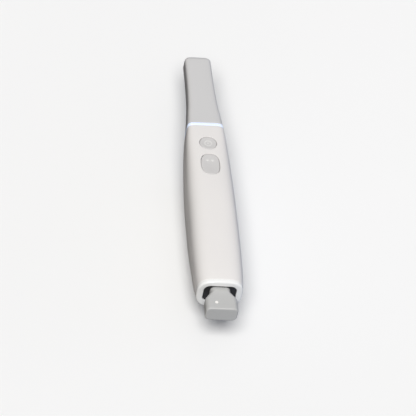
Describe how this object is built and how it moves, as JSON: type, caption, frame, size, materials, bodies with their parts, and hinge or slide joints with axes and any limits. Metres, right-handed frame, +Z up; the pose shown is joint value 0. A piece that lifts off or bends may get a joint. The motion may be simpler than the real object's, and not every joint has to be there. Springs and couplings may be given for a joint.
{
  "type": "intraoral camera",
  "caption": "Cordless dental scanning wand with a slim pull-off mirror tip, a lit ring, two thumb buttons, a deep rounded belly and a slide-out battery with a finger grip.",
  "frame": {"origin": "on the surface that the wand rests on, under the middle of its length", "axes": "+X along the wand towards the tip, +Z up out of the button side, +Y to the left of the wand seen from its tail"},
  "size_m": [0.242, 0.0356, 0.0483],
  "materials": {
    "shell_white": "fine satin, warm white",
    "bezel_white": "gloss",
    "ring_light": "milky diffuser, lit from inside",
    "tip_grey": "satin, light grey",
    "button_grey": "satin, light grey",
    "button_mark": "satin, slightly lighter than the buttons",
    "grip_grey": "satin, light grey",
    "black_plastic": "fine matt",
    "black_rubber": "matt",
    "lens_black": "black anodised, turned",
    "chassis_metal": "milled and bead-blasted",
    "steel": "bright steel",
    "brass": "turned",
    "gold_plate": "gold-plated contacts",
    "circuit_green": "solder mask over copper tracks",
    "chip_black": "moulded chip packages",
    "led_package": "small lamps under clear resin",
    "flex_amber": "polyimide film with copper tracks",
    "optic_glass": "coated optical glass",
    "mirror_glass": "front-silvered",
    "cell_foil": "aluminium pouch foil",
    "charge_lens": "clear lens over a white lamp"
  },
  "bodies": {
    "handle": {"upper_shell": "shell_white", "lower_shell": "shell_white", "tail_bezel": "bezel_white", "bezel_screws": "steel", "light_ring": "ring_light", "ring_board": "circuit_green", "ring_leds": "led_package", "optics_snout": "black_plastic", "snout_window": "optic_glass", "snout_seal": "black_rubber", "snout_screws": "steel", "tip_springs": "steel", "optics_chassis": "chassis_metal", "chassis_screws": "steel", "lens_barrel": "lens_black", "lens_elements": "optic_glass", "beam_splitter": "optic_glass", "sensor_board": "circuit_green", "image_sensor": "chip_black", "sensor_flex": "flex_amber", "projector_barrel": "lens_black", "projector_lens": "optic_glass", "projector_board": "circuit_green", "heat_sink": "chassis_metal", "main_board": "circuit_green", "main_chips": "chip_black", "shield_can": "steel", "board_posts": "brass", "board_screws": "steel", "antenna_board": "circuit_green", "button_board": "circuit_green", "button_switches": "steel", "button_guides": "black_plastic", "battery_bay": "black_plastic", "bay_contacts": "gold_plate", "power_board": "circuit_green", "latch_pin": "steel", "latch_spring": "steel"},
    "tip": {"tip_sleeve": "tip_grey", "tip_mirror": "mirror_glass", "mirror_mount": "black_plastic"},
    "scan_button": {"scan_button": "button_grey", "scan_button_mark": "button_mark"},
    "mode_button": {"mode_button": "button_grey", "mode_button_dots": "button_mark"},
    "battery": {"battery_case": "black_plastic", "battery_cell": "cell_foil", "battery_board": "circuit_green", "battery_contacts": "gold_plate", "battery_grip": "grip_grey", "charge_contacts": "gold_plate", "charge_light": "charge_lens"},
    "battery_latch": {"latch_lever": "grip_grey"}
  },
  "joints": [
    {"name": "tip_slide", "type": "slide", "parent": "handle", "child": "tip", "axis": [1, 0, 0], "range_m": [0, 0.05]},
    {"name": "scan_button_press", "type": "slide", "parent": "handle", "child": "scan_button", "axis": [0, 0, -1], "range_m": [0, 0.0007], "stiffness_N_per_m": 2500, "springref_m": -0.0006},
    {"name": "mode_button_press", "type": "slide", "parent": "handle", "child": "mode_button", "axis": [0, 0, -1], "range_m": [0, 0.0007], "stiffness_N_per_m": 2500, "springref_m": -0.0006},
    {"name": "battery_slide", "type": "slide", "parent": "handle", "child": "battery", "axis": [-1, 0, 0], "range_m": [0, 0.08]},
    {"name": "battery_latch_press", "type": "hinge", "parent": "handle", "child": "battery_latch", "pos_m": [-0.074, 0, 0.0165], "axis": [0, 1, 0], "range_deg": [0, 5], "stiffness_Nm_per_rad": 0.3, "springref_deg": -5.73, "deforming": ["latch_spring"]}
  ]
}
